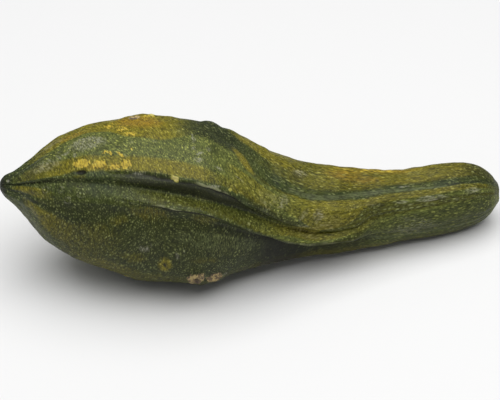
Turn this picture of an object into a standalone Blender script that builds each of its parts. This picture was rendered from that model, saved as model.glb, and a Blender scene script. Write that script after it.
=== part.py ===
"""Ornamental gourd: one solid fruit with a pointed bulb, folded ribs and a bent neck, lying on its side.

The fruit is one ball of rings and meridians whose points are carried out to the rind. Every place on the rind is
given by how far along the fruit it is from the blossom point, in millimetres, and by its angle round the fruit:
0 degrees faces the front (-Y), 90 is the top and 270 the underside.
"""

import math

import bmesh
import bpy
import numpy as np

MM = 0.001

# Length over all, and how much of each end is rounded off
LENGTH = 235.0
BLOSSOM_NOSE = 3.2
STEM_CAP = 14.0

# Where the body is thinner than this, at its two ends, crests and hollows flatten out
SOFTENED_RADIUS = 12.0

# Rings from end to end and meridians round the fruit
RINGS = 90
MERIDIANS = 64

# The axis and the round body about it: (along, radius, height of the axis above the table, its place front to back)
BODY = (
    (0, 3.2, 45.0, -7.0),
    (8, 8.1, 43.8, -7.0),
    (15, 15.0, 42.8, -7.1),
    (20, 20.0, 41.8, -7.1),
    (27.5, 25.1, 40.9, -6.9),
    (46, 32.7, 39.0, -6.4),
    (69, 36.9, 37.6, -6.2),
    (92, 36.0, 36.0, -6.6),
    (106, 32.2, 34.1, -5.4),
    (119, 26.8, 31.0, -2.8),
    (138, 21.4, 26.5, 1.2),
    (157, 19.2, 22.8, 6.2),
    (176, 17.5, 19.8, 12.0),
    (196, 16.8, 17.6, 18.8),
    (211, 16.6, 16.6, 24.0),
    (223, 14.7, 15.8, 27.8),
    (LENGTH, 12.8, 15.1, 30.3),
)

# Crests and hollows that run along the rind, in order round the fruit. Each keeps to one meridian, and has its angle
# round the fruit and how far it stands out from the round body, at each of these places along it.
PLACES = (0, 9, 27, 46, 69, 92, 104, 115, 124, 133, 147, 161, 171, 186, 211, LENGTH)
RIND_LINES = {
    "under the wing": (
        0,
        (-5, 0, 14, 19, 20, 19, 13, 2, -7, -15, -22, -21, -19, -20, -20, -20),
        (0, 0, -0.4, -0.8, -1.7, -2.8, -3.4, -4.4, -5.4, -6.2, -6.6, -5.4, -2.8, -1.0, -0.4, 0),
    ),
    "wing": (
        5,
        (20, 25, 31, 31, 29.8, 27.3, 21.5, 11.8, 3.3, -4.7, -11.8, -9.9, -6.5, -6, -6, -6),
        (0, 0.3, 0.3, 0.4, 0.7, 1.0, 1.1, 1.4, 1.9, 2.6, 3.2, 2.5, 1.2, 0.3, 0, 0),
    ),
    "fold": (
        10,
        (42, 44, 46.5, 44.4, 41.3, 37.3, 32.6, 26, 17.6, 8.6, -2.7, 3.5, 19.5, 25, 28, 30),
        (0, -0.2, -0.5, -1.3, -3.1, -4.4, -4.5, -3.9, -3.1, -2.5, -2.0, -1.6, -0.6, 0, 0, 0),
    ),
    "edge of the lobe": (
        15,
        (48, 49, 50.4, 49.3, 47.4, 45.3, 43.8, 36.8, 27.5, 16.8, 6.1, 11.5, 24.5, 30, 34, 36),
        (0, 0.5, 0.8, 1.0, 1.6, 2.2, 2.4, 2.2, 1.8, 1.4, 1.2, 1.1, 0.5, 0.2, 0, 0),
    ),
    "crown of the lobe": (
        21,
        (80, 80, 79, 78, 77, 74, 68, 57, 46, 38, 29, 32, 40, 45, 47, 48),
        (0.1, 0.3, 0.5, 0.7, 0.8, 0.7, 0.9, 1.2, 1.6, 1.8, 2.0, 1.8, 1.2, 0.7, 0.5, 0),
    ),
    "shoulder furrow": (
        27,
        (96, 96, 97, 98, 99, 99, 95, 77, 63.5, 56.5, 50.5, 52.5, 56.5, 62, 61.5, 62),
        (0.1, 0.4, 0.7, 0.9, 0.8, 0.1, -1.1, -2.3, -2.3, -2.0, -1.5, -1.3, -1.0, -0.7, -0.6, 0),
    ),
    "top ridge": (
        32,
        (108, 108, 110, 110, 111, 112, 113, 115, 114, 111.5, 104, 98, 98, 98, 99, 101),
        (0, 0.4, 0.9, 1.6, 1.6, 1.0, 1.7, 1.3, 1.1, 1.4, 1.6, 1.6, 1.5, 1.2, 1.0, 0.2),
    ),
    "upper back hollow": (
        37,
        (145, 145, 146, 146, 147, 147, 146, 145, 142, 139, 136, 134, 132, 131, 131, 131),
        (0, -0.4, -0.8, -1.2, -1.6, -2.0, -2.3, -2.4, -2.2, -2.0, -1.7, -1.3, -1.0, -0.8, -0.6, 0),
    ),
    "back ridge": (
        42,
        (180, 180, 181, 182, 182, 182, 182, 180, 178, 175, 170, 167, 165, 165, 165, 165),
        (0, 0.5, 1.1, 1.6, 2.0, 2.5, 2.6, 2.3, 2.0, 1.8, 1.5, 1.2, 1.0, 0.8, 0.6, 0),
    ),
    "lower back hollow": (
        46,
        (214, 214, 214, 215, 215, 214, 213, 212, 209, 207, 205, 202, 200, 200, 200, 200),
        (0, -0.4, -0.8, -1.3, -1.7, -2.2, -2.5, -2.5, -2.2, -1.9, -1.5, -1.1, -0.9, -0.7, -0.5, 0),
    ),
    "resting ridge": (
        50,
        (250, 250, 250, 250, 250, 249, 249, 247, 245, 242, 238, 236, 235, 235, 235, 235),
        (0, 0.3, 0.8, 1.1, 1.4, 1.6, 1.7, 1.5, 1.2, 1.1, 1.0, 0.8, 0.7, 0.5, 0.4, 0),
    ),
    "underside hollow": (
        54,
        (284, 284, 284, 284, 284, 283, 282, 281, 279, 277, 273, 272, 272, 272, 272, 272),
        (0, -0.1, -0.2, -0.3, -0.4, -0.7, -0.9, -1.0, -1.0, -1.0, -0.9, -0.7, -0.4, -0.1, 0.3, 0),
    ),
    "lower ridge": (
        59,
        (320, 322, 320, 318, 317, 318, 316, 313, 311, 306, 303, 303, 306, 310, 315, 315),
        (0, 0.8, 1.0, 1.0, 1.6, 2.7, 1.7, 1.1, 1.4, 1.6, 1.6, 1.3, 0.9, 0.6, 0.4, 0),
    ),
}

# Warts and scabs, each as (along, angle, radius, height)
WARTS = (
    (66, 112, 5.5, 0.8),
    (97, 112, 5.0, 1.0),
    (90, 333, 5.5, 1.8),
    (99, 321, 5.5, 1.0),
    (57, 182, 5.0, 0.9),
    (82, 180, 5.5, 1.3),
    (108, 183, 4.5, 0.8),
    (74, 250, 5.0, 0.7),
    (104, 249, 5.5, 1.2),
)


def curve_through(places, values, wanted):
    """A smooth curve through points, which never swings past its highest and lowest ones."""
    places = np.asarray(places, float)
    values = np.asarray(values, float)
    gaps = np.diff(places)
    grades = np.diff(values) / gaps
    slopes = np.zeros_like(values)
    slopes[0], slopes[-1] = grades[0], grades[-1]
    before, after = grades[:-1], grades[1:]
    same_way = before * after > 0
    heavier = 2 * gaps[1:] + gaps[:-1]
    lighter = gaps[1:] + 2 * gaps[:-1]
    with np.errstate(divide="ignore", invalid="ignore"):
        blended = (heavier + lighter) / (heavier / before + lighter / after)
    slopes[1:-1] = np.where(same_way, blended, 0)
    span = np.clip(np.searchsorted(places, wanted) - 1, 0, len(gaps) - 1)
    t = (wanted - places[span]) / gaps[span]
    start, end = values[span], values[span + 1]
    leave, arrive = slopes[span] * gaps[span], slopes[span + 1] * gaps[span]
    return (
        start * (1 + 2 * t) * (1 - t) ** 2
        + leave * t * (1 - t) ** 2
        + end * t**2 * (3 - 2 * t)
        - arrive * t**2 * (1 - t)
    )


def body_at(along):
    """Radius of the round body, and height and place of its axis."""
    stations = np.array(BODY).T
    radius, height, place = (curve_through(stations[0], column, along) for column in stations[1:])
    from_blossom = np.clip(along / BLOSSOM_NOSE, 0, 1)
    from_stem = np.clip((LENGTH - along) / STEM_CAP, 0, 1)
    rounding = np.sqrt(1 - (1 - from_blossom) ** 2) * np.sqrt(1 - (1 - from_stem) ** 2)
    return radius * rounding, height, place


def rings_along():
    """Where the rings stand: evenly spaced over the rind, so that they crowd together at the blunt ends."""
    fine = LENGTH * (1 - np.cos(np.linspace(0, math.pi, 2001))) / 2
    radius = body_at(fine)[0]
    over_rind = np.concatenate([[0], np.cumsum(np.hypot(np.diff(fine), np.diff(radius)))])
    return np.interp(np.linspace(0, over_rind[-1], RINGS + 1), over_rind, fine)


def rise_of_warts(along, angle, radius):
    """How far the warts lift the rind at one place along the fruit and each of the angles round it."""
    rise = np.zeros_like(angle)
    for wart_along, wart_angle, wart_radius, wart_height in WARTS:
        sideways = radius * np.radians((angle - wart_angle + 180) % 360 - 180)
        nearness = np.clip(1 - ((along - wart_along) ** 2 + sideways**2) / wart_radius**2, 0, 1)
        rise += wart_height * nearness**1.5
    return rise


def ring_of_rind(along):
    """One ring's points, one for each meridian, taken round it through all the crests and hollows."""
    meridians = []
    angles = []
    rises = []
    for meridian, angle_at_places, rise_at_places in RIND_LINES.values():
        meridians.append(meridian)
        angles.append(float(curve_through(PLACES, angle_at_places, along)))
        rises.append(float(curve_through(PLACES, rise_at_places, along)))
    round_and_on = np.concatenate([np.array(meridians) + turns * MERIDIANS for turns in (-1, 0, 1)])
    angles = np.concatenate([np.array(angles) + turns * 360 for turns in (-1, 0, 1)])
    wanted = np.arange(MERIDIANS)
    angle = curve_through(round_and_on, angles, wanted)
    radius, height, place = body_at(along)
    rise = curve_through(round_and_on, rises * 3, wanted) * min(1, radius / SOFTENED_RADIUS)
    out = radius + rise + rise_of_warts(along, angle, radius)
    turn = np.radians(angle)
    return np.stack([np.full_like(turn, along), place - out * np.cos(turn), height + out * np.sin(turn)], axis=-1)


def carry_out_to_rind(mesh):
    """Moves every point of a unit ball, whose poles are on Z, to the same ring and meridian of the fruit."""
    rings = [ring_of_rind(along) for along in rings_along()]
    for point in mesh.verts:
        ring = round(math.acos(max(-1, min(1, -point.co.z))) / math.pi * RINGS)
        meridian = round(math.atan2(point.co.y, point.co.x) / math.tau * MERIDIANS) % MERIDIANS
        x, y, z = rings[ring][meridian] * MM
        point.co = (x - LENGTH / 2 * MM, y, z)


def flatten_resting_spots(mesh):
    """Planes off what lies below the table, which leaves a small flat spot under the bulb and one under the neck."""
    everything = mesh.verts[:] + mesh.edges[:] + mesh.faces[:]
    cut = bmesh.ops.bisect_plane(
        mesh, geom=everything, dist=1e-6, plane_co=(0, 0, 0), plane_no=(0, 0, -1), clear_outer=True
    )
    rim = [part for part in cut["geom_cut"] if isinstance(part, bmesh.types.BMEdge)]
    bmesh.ops.holes_fill(mesh, edges=rim, sides=0)


def rind_material():
    material = bpy.data.materials.new("rind")
    material.use_nodes = True
    shader = material.node_tree.nodes["Principled BSDF"]
    shader.inputs["Base Color"].default_value = (0.105, 0.115, 0.035, 1)
    shader.inputs["Roughness"].default_value = 0.42
    shader.inputs["Metallic"].default_value = 0
    return material


def make_gourd():
    mesh = bmesh.new()
    bmesh.ops.create_uvsphere(mesh, u_segments=MERIDIANS, v_segments=RINGS, radius=1)
    carry_out_to_rind(mesh)
    flatten_resting_spots(mesh)
    bmesh.ops.recalc_face_normals(mesh, faces=mesh.faces[:])
    data = bpy.data.meshes.new("gourd")
    mesh.to_mesh(data)
    mesh.free()
    data.shade_smooth()
    data.materials.append(rind_material())
    gourd = bpy.data.objects.new("gourd", data)
    bpy.context.scene.collection.objects.link(gourd)
    return gourd


def main():
    for old in list(bpy.data.objects):
        bpy.data.objects.remove(old)
    make_gourd()


main()
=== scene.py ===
"""An ornamental gourd: its rind as one fine mesh, with crests, folds, warts, scabs and scars, and its skin.

Every place on the rind is given by how far along the fruit it is from the blossom point, in millimetres,
and by its meridian round the fruit. Meridian 0 runs low along the front, under the wing. From there they
count up over the front and the top and down the back to 64, which is 0 again.
"""

import math
from dataclasses import dataclass

import bpy
import numpy as np
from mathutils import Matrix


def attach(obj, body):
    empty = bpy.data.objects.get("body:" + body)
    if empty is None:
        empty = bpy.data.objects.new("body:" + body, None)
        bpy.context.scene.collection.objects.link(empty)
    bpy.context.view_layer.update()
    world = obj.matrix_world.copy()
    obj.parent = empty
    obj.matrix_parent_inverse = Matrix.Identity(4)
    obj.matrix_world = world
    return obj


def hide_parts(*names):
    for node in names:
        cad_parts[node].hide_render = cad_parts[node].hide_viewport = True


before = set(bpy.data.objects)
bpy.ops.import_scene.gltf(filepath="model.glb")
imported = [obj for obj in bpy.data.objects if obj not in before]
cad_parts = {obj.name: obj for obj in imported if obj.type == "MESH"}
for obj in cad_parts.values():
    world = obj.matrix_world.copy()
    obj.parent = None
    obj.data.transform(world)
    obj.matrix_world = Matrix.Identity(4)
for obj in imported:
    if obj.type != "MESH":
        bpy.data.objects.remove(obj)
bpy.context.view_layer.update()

MM = 0.001

# The fruit's length, and how much of each end is rounded off, in millimetres
LENGTH = 235.0
BLOSSOM_NOSE = 3.2
STEM_CAP = 14.0
SOFTENED_RADIUS = 12.0

# The mesh's rings from end to end and its points round each ring, and the meridians that places are told by
RINGS = 360
SEGMENTS = 256
MERIDIANS = 64

# The mesh's columns crowd together by this share, within this many meridians of the two sharp crests
CROWDING = 1.5
CROWDED_WIDTH = 1.4
CREST_MERIDIANS = (5, 15)

# Steps in the fine measures along the fruit and round it, by which the rings and columns are spaced
FINE_ALONG = 4001
FINE_ROUND = 6401

# A reach past every oval and scar, for points that are on another side of the fruit
FAR = 99

# The axis and the round body: (along, radius, height of the axis above the table, its place front to back)
BODY = (
    (0, 3.2, 45, -7),
    (8, 8.1, 43.8, -7),
    (15, 15, 42.8, -7.1),
    (20, 20, 41.8, -7.1),
    (27.5, 25.1, 40.9, -6.9),
    (46, 32.7, 39, -6.4),
    (69, 36.9, 37.6, -6.2),
    (92, 36, 36, -6.6),
    (106, 32.2, 34.1, -5.4),
    (119, 26.8, 31, -2.8),
    (138, 21.4, 26.5, 1.2),
    (157, 19.2, 22.8, 6.2),
    (176, 17.5, 19.8, 12),
    (196, 16.8, 17.6, 18.8),
    (211, 16.6, 16.6, 24),
    (223, 14.7, 15.8, 27.8),
    (LENGTH, 12.8, 15.1, 30.3),
)

# Crests and hollows along the rind, in order round the fruit: (meridian, angle round the fruit at each of
# these places along it, how far it stands out from the round body there). Angle 0 is the front, 90 the top.
PLACES = (0, 9, 27, 46, 69, 92, 104, 115, 124, 133, 147, 161, 171, 186, 211, LENGTH)
RIND_LINES = {
    "under the wing": (
        0,
        (-5, 0, 14, 19, 20, 19, 13, 2, -7, -15, -22, -21, -19, -20, -20, -20),
        (0, 0, -0.4, -0.8, -1.7, -2.8, -3.4, -4.4, -5.4, -6.2, -6.6, -5.4, -2.8, -1, -0.4, 0),
    ),
    "wing": (
        5,
        (20, 25, 31, 31, 29.8, 27.3, 21.5, 11.8, 3.3, -4.7, -11.8, -9.9, -6.5, -6, -6, -6),
        (0, 0.3, 0.3, 0.4, 0.7, 1, 1.1, 1.4, 1.9, 2.6, 3.2, 2.5, 1.2, 0.3, 0, 0),
    ),
    "fold": (
        10,
        (42, 44, 46.5, 44.4, 41.3, 37.3, 32.6, 26, 17.6, 8.6, -2.7, 3.5, 19.5, 25, 28, 30),
        (0, -0.2, -0.5, -1.3, -3.1, -4.4, -4.5, -3.9, -3.1, -2.5, -2, -1.6, -0.6, 0, 0, 0),
    ),
    "edge of the lobe": (
        15,
        (48, 49, 50.4, 49.3, 47.4, 45.3, 43.8, 36.8, 27.5, 16.8, 6.1, 11.5, 24.5, 30, 34, 36),
        (0, 0.5, 0.8, 1, 1.6, 2.2, 2.4, 2.2, 1.8, 1.4, 1.2, 1.1, 0.5, 0.2, 0, 0),
    ),
    "crown of the lobe": (
        21,
        (80, 80, 79, 78, 77, 74, 68, 57, 46, 38, 29, 32, 40, 45, 47, 48),
        (0.1, 0.3, 0.5, 0.7, 0.8, 0.7, 0.9, 1.2, 1.6, 1.8, 2, 1.8, 1.2, 0.7, 0.5, 0),
    ),
    "shoulder furrow": (
        27,
        (96, 96, 97, 98, 99, 99, 95, 77, 63.5, 56.5, 50.5, 52.5, 56.5, 62, 61.5, 62),
        (0.1, 0.4, 0.7, 0.9, 0.8, 0.1, -1.1, -2.3, -2.3, -2, -1.5, -1.3, -1, -0.7, -0.6, 0),
    ),
    "top ridge": (
        32,
        (108, 108, 110, 110, 111, 112, 113, 115, 114, 111.5, 104, 98, 98, 98, 99, 101),
        (0, 0.4, 0.9, 1.6, 1.6, 1, 1.7, 1.3, 1.1, 1.4, 1.6, 1.6, 1.5, 1.2, 1, 0.2),
    ),
    "upper back hollow": (
        37,
        (145, 145, 146, 146, 147, 147, 146, 145, 142, 139, 136, 134, 132, 131, 131, 131),
        (0, -0.4, -0.8, -1.2, -1.6, -2, -2.3, -2.4, -2.2, -2, -1.7, -1.3, -1, -0.8, -0.6, 0),
    ),
    "back ridge": (
        42,
        (180, 180, 181, 182, 182, 182, 182, 180, 178, 175, 170, 167, 165, 165, 165, 165),
        (0, 0.5, 1.1, 1.6, 2, 2.5, 2.6, 2.3, 2, 1.8, 1.5, 1.2, 1, 0.8, 0.6, 0),
    ),
    "lower back hollow": (
        46,
        (214, 214, 214, 215, 215, 214, 213, 212, 209, 207, 205, 202, 200, 200, 200, 200),
        (0, -0.4, -0.8, -1.3, -1.7, -2.2, -2.5, -2.5, -2.2, -1.9, -1.5, -1.1, -0.9, -0.7, -0.5, 0),
    ),
    "resting ridge": (
        50,
        (250, 250, 250, 250, 250, 249, 249, 247, 245, 242, 238, 236, 235, 235, 235, 235),
        (0, 0.3, 0.8, 1.1, 1.4, 1.6, 1.7, 1.5, 1.2, 1.1, 1, 0.8, 0.7, 0.5, 0.4, 0),
    ),
    "underside hollow": (
        54,
        (284, 284, 284, 284, 284, 283, 282, 281, 279, 277, 273, 272, 272, 272, 272, 272),
        (0, -0.1, -0.2, -0.3, -0.4, -0.7, -0.9, -1, -1, -1, -0.9, -0.7, -0.4, -0.1, 0.3, 0),
    ),
    "lower ridge": (
        59,
        (320, 322, 320, 318, 317, 318, 316, 313, 311, 306, 303, 303, 306, 310, 315, 315),
        (0, 0.8, 1, 1, 1.6, 2.7, 1.7, 1.1, 1.4, 1.6, 1.6, 1.3, 0.9, 0.6, 0.4, 0),
    ),
}

# The two sharp crests: rows of (along, meridian, strength)
LOBE_EDGE = (
    (46, 16, 0),
    (64, 16.2, 0.6),
    (75, 15.9, 1),
    (88, 15.3, 1),
    (96, 14.9, 1),
    (103, 14.3, 1),
    (110, 13.6, 0.9),
    (116, 12.3, 0.5),
    (126, 11.4, 0),
)
WING_EDGE = (
    (54, 6.6, 0),
    (71, 5.7, 0.6),
    (78, 5.2, 1),
    (86, 5, 1),
    (100, 4.7, 1),
    (107, 4.7, 0.9),
    (115, 5.3, 0.5),
    (128, 5.2, 0.25),
    (140, 4.6, 0.3),
    (152, 4.4, 0.25),
    (164, 5, 0),
)

# The sharp crests' shapes: (line, height, depth of the step under it, how far back the height reaches)
SHARP_CRESTS = ((LOBE_EDGE, 0.7, 1.1, 4.0), (WING_EDGE, 0.5, 0.9, 3.0))

# Low uneven ridges on the top, the back and the underside: (meridian, height)
LOW_RIDGES = ((32, 0.22), (42, 0.32), (50, 0.25), (59, 0.25))

# Broad warts that the solid has too: (along, angle, radius, height)
BROAD_WARTS = (
    (66, 112, 5.5, 0.8),
    (97, 112, 5, 1),
    (90, 333, 5.5, 1.8),
    (99, 321, 5.5, 1),
    (57, 182, 5, 0.9),
    (82, 180, 5.5, 1.3),
    (108, 183, 4.5, 0.8),
    (74, 250, 5, 0.7),
    (104, 249, 5.5, 1.2),
)

# Gentle swells and dips: (along, meridian, length, width, height)
SWELLS = (
    (18, 29.5, 13.5, 12, -1.5),
    (44, -6, 16, 16, -0.7),
    (66, 31, 5, 8, -0.4),
    (110, 30.5, 6, 10, -0.6),
    (130, 29.8, 7, 12, 0.5),
    (95, -6.5, 45, 12, -0.8),
    (147, 13.5, 18, 8, -0.9),
    (146, 5.5, 20, 8, -1.4),
    (149, 10.3, 14, 5, 0.9),
    (163, 10.8, 11, 5, 0.8),
    (189, 31, 6, 10, -0.3),
    (203, 31.5, 8, 12, 0.4),
    (220, 31, 7, 12, 0.3),
)

# Small warts: (along, meridian, radius, height)
SMALL_WARTS = (
    (82.2, 15.8, 1.5, 1),
    (80.6, 16, 1.1, 0.6),
    (105, 15.4, 1.2, 0.3),
    (69.5, 31.8, 2, 0.6),
    (72, 41.6, 1.7, 0.9),
    (94, 42.2, 1.4, 0.7),
    (63, 50.2, 1.6, 0.6),
    (88, 49.8, 1.5, 0.8),
    (58, 58.8, 1.3, 0.6),
    (120, 41.8, 1.2, 0.5),
    (148, 42.4, 1.1, 0.4),
)

# Scabs, which are corky and sunken in the middle: (along, meridian, length, width, lean, height)
SCABS = (
    (90, -3.9, 3.7, 4.6, -20, 1.6),
    (98, -4.25, 3.8, 3, 8, 0.4),
    (61.8, 30.6, 2.6, 1.5, 0, 0.4),
    (84, 42.3, 3.6, 2.4, -25, 0.8),
    (104.5, 50.2, 3.8, 3, 0, 0.8),
    (56, 41.6, 2.4, 1.9, -20, 0.5),
)

# Pits: (along, meridian, length, width, lean, depth)
PITS = (
    (39.5, 16.2, 3.2, 1.5, 2, 1),
    (38.3, 8.2, 0.8, 0.7, 0, 0.3),
    (76.6, -3.2, 1, 1.4, 0, 0.15),
    (51, 37.5, 2.2, 1.2, 30, 0.6),
    (118, 45.6, 2.6, 1.1, -15, 0.6),
)

# Ring-shaped scars: (along, meridian, length, width, lean, height)
RING_SCARS = (
    (80, 5, 2.2, 1.1, -8, 0.12),
    (23.5, 6.7, 1.8, 1.6, 0, 0.25),
    (30.5, 7, 1.5, 1.7, 0, 0.20),
    (34, 4.2, 2, 1.5, 25, 0.25),
    (40, 6, 1.9, 1.2, -20, 0.20),
    (36.4, 19.7, 1.1, 2.2, 0, 0.20),
    (30, 20.4, 2.4, 1.2, -30, 0.20),
    (96, 37.8, 2.8, 1.8, 15, 0.30),
    (68, 46.2, 2.2, 1.4, -25, 0.25),
)

# Healed scratches: (along, meridian, length, width, lean)
SCRATCHES = (
    (67.6, -2.1, 3.2, 0.38, -4),
    (70.6, -2, 1.6, 0.38, 40),
    (81.8, -2.6, 1.8, 0.45, 22),
    (84.6, -2.2, 1.4, 0.40, 50),
    (102.6, -4.2, 3.4, 0.60, 4),
    (88.6, 23.4, 3, 0.50, -80),
    (90.4, 20.6, 3.4, 0.50, -40),
    (109, 19.2, 2.6, 0.50, -8),
    (186, 27.6, 4.5, 0.45, 4),
    (74, 38, 4, 0.50, 35),
    (101, 44, 5, 0.55, -30),
    (143, 38.5, 5.5, 0.50, 10),
)


def curve_through(places, values, wanted):
    """A smooth curve through points, which never swings past its highest and lowest; one for each row."""
    places = np.asarray(places, float)
    values = np.asarray(values, float)
    gaps = np.diff(places)
    grades = np.diff(values) / gaps
    slopes = np.zeros_like(values)
    slopes[..., 0], slopes[..., -1] = grades[..., 0], grades[..., -1]
    before, after = grades[..., :-1], grades[..., 1:]
    heavier = 2 * gaps[1:] + gaps[:-1]
    lighter = gaps[1:] + 2 * gaps[:-1]
    with np.errstate(divide="ignore", invalid="ignore"):
        blended = (heavier + lighter) / (heavier / before + lighter / after)
    slopes[..., 1:-1] = np.where(before * after > 0, blended, 0)
    span = np.clip(np.searchsorted(places, wanted) - 1, 0, len(gaps) - 1)
    t = (wanted - places[span]) / gaps[span]
    start, end = values[..., span], values[..., span + 1]
    leave, arrive = slopes[..., span] * gaps[span], slopes[..., span + 1] * gaps[span]
    return (
        start * (1 + 2 * t) * (1 - t) ** 2
        + leave * t * (1 - t) ** 2
        + end * t**2 * (3 - 2 * t)
        - arrive * t**2 * (1 - t)
    )


def smooth_step(low, high, value):
    t = np.clip((value - low) / (high - low), 0, 1)
    return t * t * (3 - 2 * t)


def unit(vectors):
    return vectors / np.maximum(np.linalg.norm(vectors, axis=-1, keepdims=True), 1e-9)


def body_at(along):
    """Radius of the round body, and height and place of its axis."""
    stations = np.array(BODY).T
    radius, height, place = (curve_through(stations[0], column, along) for column in stations[1:])
    from_blossom = np.clip(along / BLOSSOM_NOSE, 0, 1)
    from_stem = np.clip((LENGTH - along) / STEM_CAP, 0, 1)
    rounding = np.sqrt(1 - (1 - from_blossom) ** 2) * np.sqrt(1 - (1 - from_stem) ** 2)
    return radius * rounding, height, place


def rings_along():
    """Where the rings stand: evenly spaced over the rind, so that they crowd together at the blunt ends."""
    fine = LENGTH * (1 - np.cos(np.linspace(0, math.pi, FINE_ALONG))) / 2
    radius = body_at(fine)[0]
    over_rind = np.concatenate([[0], np.cumsum(np.hypot(np.diff(fine), np.diff(radius)))])
    return np.interp(np.linspace(0, over_rind[-1], RINGS + 1), over_rind, fine)


def columns_round():
    """The meridians of the mesh's columns: closer together where the two sharp crests run."""
    fine = np.linspace(0, MERIDIANS, FINE_ROUND)
    crowding = np.ones_like(fine)
    for crest in CREST_MERIDIANS:
        crowding = crowding + CROWDING * np.exp(-(((fine - crest) / CROWDED_WIDTH) ** 2))
    passed = np.concatenate([[0], np.cumsum((crowding[1:] + crowding[:-1]) / 2)])
    return np.interp(np.arange(SEGMENTS) / SEGMENTS * passed[-1], passed, fine)


@dataclass
class Rind:
    """The rind on a grid, a row for each ring and a column for each point round it, in millimetres."""

    along: np.ndarray
    meridian: np.ndarray
    turn: np.ndarray
    point: np.ndarray
    normal: np.ndarray

    def off_meridian(self, meridian):
        """How many meridians each point is past a given one, the short way round."""
        half = MERIDIANS / 2
        return (self.meridian - meridian + half) % MERIDIANS - half

    def frame_at(self, along, meridian):
        """A place on the rind, its outward normal, and the directions along and round the fruit there."""
        row = int(np.clip(np.searchsorted(self.along[:, 0], along), 1, RINGS - 1))
        column = np.abs(self.off_meridian(meridian)).argmin()
        normal = self.normal[row, column]
        forward = unit(self.point[row + 1, column] - self.point[row - 1, column])
        return self.point[row, column], normal, forward, np.cross(normal, forward)

    def above(self, line):
        """How far round the fruit each point is above a line, in millimetres, and how strong the line is."""
        places, meridians, strengths = np.array(line, float).T
        along = self.along[:, 0]
        steps = np.linalg.norm(np.diff(self.point, axis=1, append=self.point[:, :1]), axis=-1)
        reached = np.cumsum(steps, axis=1) - steps
        crossing = np.interp(along, places, meridians) % MERIDIANS
        start = np.array([np.interp(at, self.meridian[0], row) for at, row in zip(crossing, reached)])
        girth = np.maximum(steps.sum(axis=1), 1)[:, None]
        strength = np.interp(along, places, strengths, left=0, right=0)[:, None]
        return (reached - start[:, None] + girth / 2) % girth - girth / 2, strength

    def oval(self, along, meridian, length, width, lean=0):
        """How far each point is from the middle of an oval on the rind: 0 in the middle, 1 at its rim."""
        middle, normal, forward, sideways = self.frame_at(along, meridian)
        offset = self.point - middle
        x, y = offset @ forward, offset @ sideways
        c, s = math.cos(math.radians(lean)), math.sin(math.radians(lean))
        reach = np.hypot((x * c + y * s) / length, (y * c - x * s) / width)
        return np.where(self.normal @ normal > 0, reach, FAR)

    def from_blossom_scar(self):
        """How far each point is from the line through the blossom scar, in millimetres."""
        return np.hypot(self.point[..., 1] - BODY[0][3], self.point[..., 2] - BODY[0][2])

    def from_stem_scar(self):
        """How far each point on the stem's end is from the middle of its scar, in millimetres."""
        reach = np.hypot(self.point[..., 1] - BODY[-1][3], self.point[..., 2] - BODY[-1][2])
        return np.where(self.along > LENGTH - STEM_CAP, reach, FAR)

    def band(self, rows, soft=0.8):
        """A stripe along the rind through rows of (along, from meridian, to meridian, strength), 0 to 1."""
        places, *columns = np.array(rows, float).T
        along = self.along[:, 0]
        inside = np.clip(along, places[0], places[-1])
        low, high, strength = (curve_through(places, column, inside)[:, None] for column in columns)
        middle, half = (low + high) / 2, (high - low) / 2
        off = np.abs(self.off_meridian(middle))
        within = ((along >= places[0]) & (along <= places[-1]))[:, None]
        return strength * within * (1 - smooth_step(half - soft / 2, half + soft / 2, off))


def waves(points, size, seed, count=48):
    """Smooth random swells over the points, mostly between -1 and 1, with crests about this size apart."""
    draw = np.random.default_rng(seed)
    ways = unit(draw.normal(size=(count, 3)))
    tightness = math.tau / (size * draw.uniform(0.7, 1.5, (count, 1)))
    phases = draw.uniform(0, math.tau, count)
    return np.cos(points @ (ways * tightness).T + phases).sum(axis=-1) / math.sqrt(count)


def lay_out_rind():
    """The rind with its crests, hollows and broad warts, the same shape as the solid but finer."""
    along = rings_along()
    meridian = columns_round()
    lines = RIND_LINES.values()
    meridians = np.array([line[0] for line in lines])
    angles = curve_through(PLACES, [line[1] for line in lines], along).T
    rises = curve_through(PLACES, [line[2] for line in lines], along).T
    round_and_on = np.concatenate([meridians + turns * MERIDIANS for turns in (-1, 0, 1)])
    angle = curve_through(round_and_on, np.hstack([angles - 360, angles, angles + 360]), meridian)
    radius, height, place = (value[:, None] for value in body_at(along))
    rise = curve_through(round_and_on, np.hstack([rises] * 3), meridian)
    out = radius + rise * np.minimum(1, radius / SOFTENED_RADIUS)
    for wart_along, wart_angle, wart_radius, wart_height in BROAD_WARTS:
        sideways = radius * np.radians((angle - wart_angle + 180) % 360 - 180)
        nearness = np.clip(1 - ((along[:, None] - wart_along) ** 2 + sideways**2) / wart_radius**2, 0, 1)
        out = out + wart_height * nearness**1.5
    turn = np.radians(angle)
    length_wise = np.broadcast_to(along[:, None], turn.shape)
    point = np.stack([length_wise, place - out * np.cos(turn), height + out * np.sin(turn)], axis=-1)
    onward = np.gradient(point, axis=0)
    sideways = np.roll(point, -1, axis=1) - np.roll(point, 1, axis=1)
    normal = unit(np.cross(onward, sideways))
    normal[0], normal[-1] = (-1, 0, 0), (1, 0, 0)
    return Rind(along[:, None], meridian[None, :], turn, point, normal)


def dome(reach):
    return np.clip(1 - reach**2, 0, 1) ** 1.5


def ring(reach, at, width):
    return np.exp(-(((reach - at) / width) ** 2))


def fading(rind, start, full, full_until, end):
    """1 between two places along the fruit, falling to 0 beyond them."""
    return smooth_step(start, full, rind.along) * (1 - smooth_step(full_until, end, rind.along))


def unevenness(rind):
    """The long and the short swings that bend every crest."""
    return waves(rind.point, size=30, seed=12), waves(rind.point, size=7, seed=11)


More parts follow.
